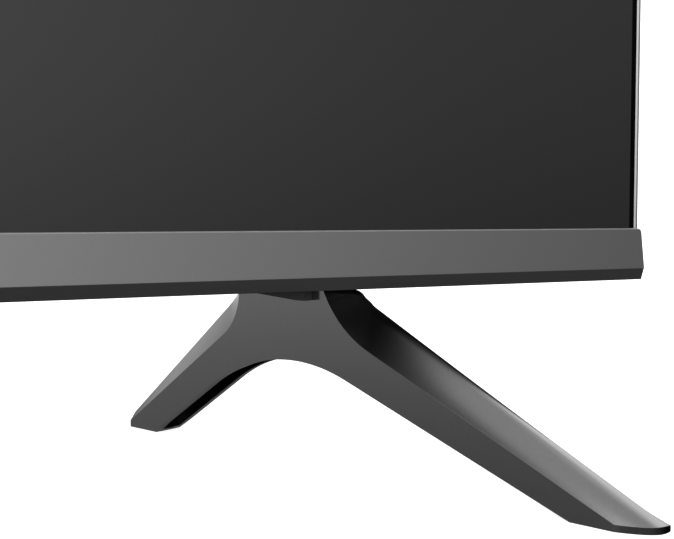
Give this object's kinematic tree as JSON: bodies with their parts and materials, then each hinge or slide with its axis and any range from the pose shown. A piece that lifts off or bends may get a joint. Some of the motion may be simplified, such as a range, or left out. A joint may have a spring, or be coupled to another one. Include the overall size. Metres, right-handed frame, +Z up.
{
  "type": "flat screen tv",
  "caption": "Flat screen television with a thin grey bezel, a slim chin and a deep rear cover, standing on splayed inverted V legs, with a press key under the chin and a wall mount pattern.",
  "frame": {"origin": "on the floor under the middle of the set's box", "axes": "+Z up, the screen faces -Y, +X to the right seen from the front"},
  "size_m": [0.9504, 0.2098, 0.6131],
  "materials": {
    "lcd_glass": "matt polariser on glass",
    "foam_tape": "closed foam",
    "white_plastic": "moulded, matt white",
    "optical_film": "clear film",
    "reflector_film": "bright white film",
    "led_lens": "clear moulded lens",
    "steel_sheet": "zinc plated sheet",
    "bezel_grey": "satin grey anodised strip",
    "chin_grey": "satin grey paint",
    "black_trim": "satin black",
    "cover_black": "fine textured black",
    "screw_steel": "zinc plated",
    "board_green": "solder resist",
    "board_tan": "bare laminate",
    "chip_black": "moulded package",
    "heatsink": "extruded",
    "ferrite": "ferrite core with tape",
    "capacitor": "sleeved can",
    "socket_metal": "tinned shell",
    "socket_black": "moulded black",
    "speaker_plastic": "moulded black",
    "speaker_driver": "black basket and magnet",
    "flex_amber": "polyimide film",
    "ribbon_white": "flat cable",
    "leg_grey": "satin grey paint",
    "rubber_pad": "matt",
    "window_dark": "dark infrared filter",
    "key_plastic": "gloss dark grey"
  },
  "bodies": {
    "set": {"lcd_panel": "lcd_glass", "panel_tape": "foam_tape", "mid_frame": "white_plastic", "prism_sheet": "optical_film", "diffuser_sheet": "optical_film", "diffuser_plate": "white_plastic", "diffuser_posts": "white_plastic", "reflector_sheet": "reflector_film", "led_bars": "white_plastic", "led_lenses": "led_lens", "back_chassis": "steel_sheet", "bezel_left": "bezel_grey", "bezel_right": "bezel_grey", "bezel_top": "bezel_grey", "chin_cover": "chin_grey", "chin_lower_trim": "black_trim", "upper_rear_cover": "cover_black", "lower_rear_cover": "cover_black", "upper_cover_screws": "screw_steel", "lower_cover_screws": "screw_steel", "wall_mount_inserts": "steel_sheet", "main_board": "board_green", "main_board_chips": "chip_black", "main_heatsink": "heatsink", "power_board": "board_tan", "power_transformer": "ferrite", "power_capacitors": "capacitor", "power_heatsink": "heatsink", "board_standoffs": "screw_steel", "board_screws": "screw_steel", "antenna_socket": "socket_metal", "lan_socket": "socket_metal", "optical_socket": "socket_black", "hdmi_sockets": "socket_metal", "usb_sockets": "socket_metal", "headphone_socket": "socket_black", "power_inlet": "socket_black", "speaker_box_left": "speaker_plastic", "speaker_box_right": "speaker_plastic", "speaker_driver_left": "speaker_driver", "speaker_driver_right": "speaker_driver", "source_boards": "board_green", "panel_flex_tabs": "flex_amber", "panel_ribbon": "ribbon_white", "wireless_module": "board_green", "leg_left": "leg_grey", "leg_right": "leg_grey", "leg_pads": "rubber_pad", "leg_screws": "screw_steel", "leg_bracket_left": "steel_sheet", "leg_bracket_right": "steel_sheet", "bracket_screws": "screw_steel", "leg_locators": "black_trim", "key_pod": "black_trim", "ir_window": "window_dark", "ir_receiver": "chip_black", "key_board": "board_green", "tact_switch": "socket_metal"},
    "key": {"power_key": "key_plastic", "switch_plunger": "chip_black"}
  },
  "joints": [
    {"name": "power_key_press", "type": "slide", "parent": "set", "child": "key", "axis": [0, 0, 1], "range_m": [0, 0.0008], "stiffness_N_per_m": 1500}
  ]
}
